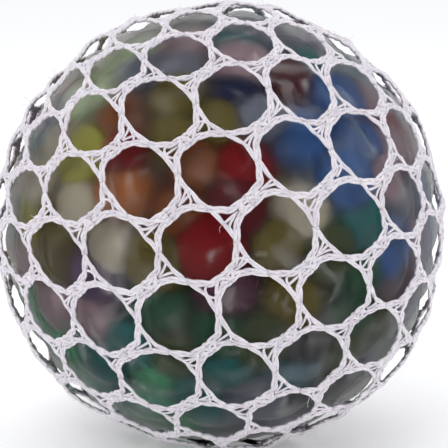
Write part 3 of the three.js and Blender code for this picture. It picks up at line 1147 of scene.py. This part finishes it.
def two_ply(line, out):
    """Two plies twisted round a line."""
    ahead = np.gradient(line, axis=0)
    steps = np.linalg.norm(ahead, axis=1)
    ahead /= steps[:, None]
    side = np.cross(ahead, out)
    side /= np.linalg.norm(side, axis=1)[:, None]
    rise = np.cross(side, ahead)
    twist = np.cumsum(steps) / TWIST_EVERY * 2 * math.pi
    for start in (0, math.pi):
        swing = side * np.cos(twist + start)[:, None] + rise * np.sin(twist + start)[:, None]
        thread.add(line + swing * PLY_APART, out, PLY_R)


def on_the_neck(turn, back_by, height=0.0):
    """A place on the winding: turn in radians from the top, and how far back and out."""
    out = np.stack([np.sin(turn), np.zeros_like(turn), np.cos(turn)], axis=1)
    ahead = np.stack([np.zeros_like(turn), back_by, np.zeros_like(turn)], axis=1)
    return tie_centre + out * (WIND_R + height)[:, None] + ahead, out


turn = np.linspace(0, 2 * math.pi * THREAD_TURNS, 60 * THREAD_TURNS)
back_by = (turn / turn[-1] - 0.5) * WIND_LONG + 0.15 * MM * np.sin(1.7 * turn)
line, out = on_the_neck(turn, back_by, 0.08 * MM * np.sin(2.3 * turn))
two_ply(line, out)
knot_turn = np.linspace(0, 2 * math.pi, 90)
knot_middle = tie_centre + np.array([0, 0, WIND_R + 0.7 * MM])
knot = np.stack(
    [
        1.25 * MM * np.sin(knot_turn) + 0.9 * MM * np.sin(2 * knot_turn),
        1.0 * MM * np.cos(knot_turn) - 0.75 * MM * np.cos(2 * knot_turn),
        0.55 * MM * np.sin(3 * knot_turn),
    ],
    axis=1,
)
upright = np.tile([0.0, 0.0, 1.0], (len(knot), 1))
two_ply(knot * 0.75 + knot_middle, upright)
for sign in (-1, 1):
    ends = np.array(
        [
            knot_middle,
            knot_middle + np.array([sign * 1.6, 0.5, 0.7]) * MM,
            knot_middle + np.array([sign * 3.2, 1.8, 0.3]) * MM,
            knot_middle + np.array([sign * 4.3, 3.4, -0.9]) * MM,
        ]
    )
    tail = smooth_line(ends, 30)
    two_ply(tail, np.tile([0.0, 0.0, 1.0], (len(tail), 1)))
tie = thread.piece("tie_windings", thread_white)

# %% [markdown]
# ## The filling plug
#
# The ball is filled through the sleeve at its back, and a rubber plug then closes it. It is a
# short round stick with rounded ends, so a cylinder with its end edges bevelled is enough.

# %% Plug
plug_low, plug_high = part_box("filling_plug")
plug_rubber, tree, shader = new_material("milky_rubber")
where = tree.nodes.new("ShaderNodeTexCoord")
dust = tree.nodes.new("ShaderNodeTexNoise")
dust.inputs["Scale"].default_value = 600
tone = tree.nodes.new("ShaderNodeValToRGB")
tone.color_ramp.elements[0].color = (0.6, 0.61, 0.62, 1)
tone.color_ramp.elements[1].color = (0.72, 0.73, 0.74, 1)
tree.links.new(where.outputs["Object"], dust.inputs["Vector"])
tree.links.new(dust.outputs["Fac"], tone.inputs["Fac"])
tree.links.new(tone.outputs["Color"], shader.inputs["Base Color"])
shader.inputs["Roughness"].default_value = 0.4
nothing_selected()
bpy.ops.mesh.primitive_cylinder_add(
    vertices=64,
    radius=(plug_high.x - plug_low.x) / 2,
    depth=plug_high.y - plug_low.y,
    location=(plug_low + plug_high) / 2,
    rotation=(math.pi / 2, 0, 0),
)
plug = bpy.context.object
plug.name = "rubber_plug"
settle(plug)
rounding = plug.modifiers.new("rounding", "BEVEL")
rounding.width = 0.3 * MM
rounding.segments = 4
bpy.ops.object.modifier_apply(modifier="rounding")
plug.data.shade_smooth()
plug.data.materials.append(plug_rubber)
print("plug is", round((plug_high.y - plug_low.y) / MM, 1), "mm long")

# %% [markdown]
# ## Put every piece on its body
#
# The net, the skin and the loose beads ride on the wrap, the tie and the plug on the closure,
# and each other bead on its own body.

# %% Bodies
for piece in net_pieces + [skin] + loose_pieces:
    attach(piece, "wrap")
    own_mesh(piece)
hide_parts("net")
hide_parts("skin")
for piece, name, place in zip(beads, names, places):
    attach(piece, name)
    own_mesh(piece)
    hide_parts(name)
for piece, node, slot in ((tie, "tie_thread", "tie_thread"), (plug, "filling_plug", "plug_rubber")):
    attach(piece, "closure")
    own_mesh(piece)
    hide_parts(node)
print("pieces:", len(net_pieces) + len(beads) + len(loose_pieces) + 3)

# %% Sizes
low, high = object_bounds()
print("box, mm:", [[round(x / MM, 2) for x in v] for v in (low, high)])
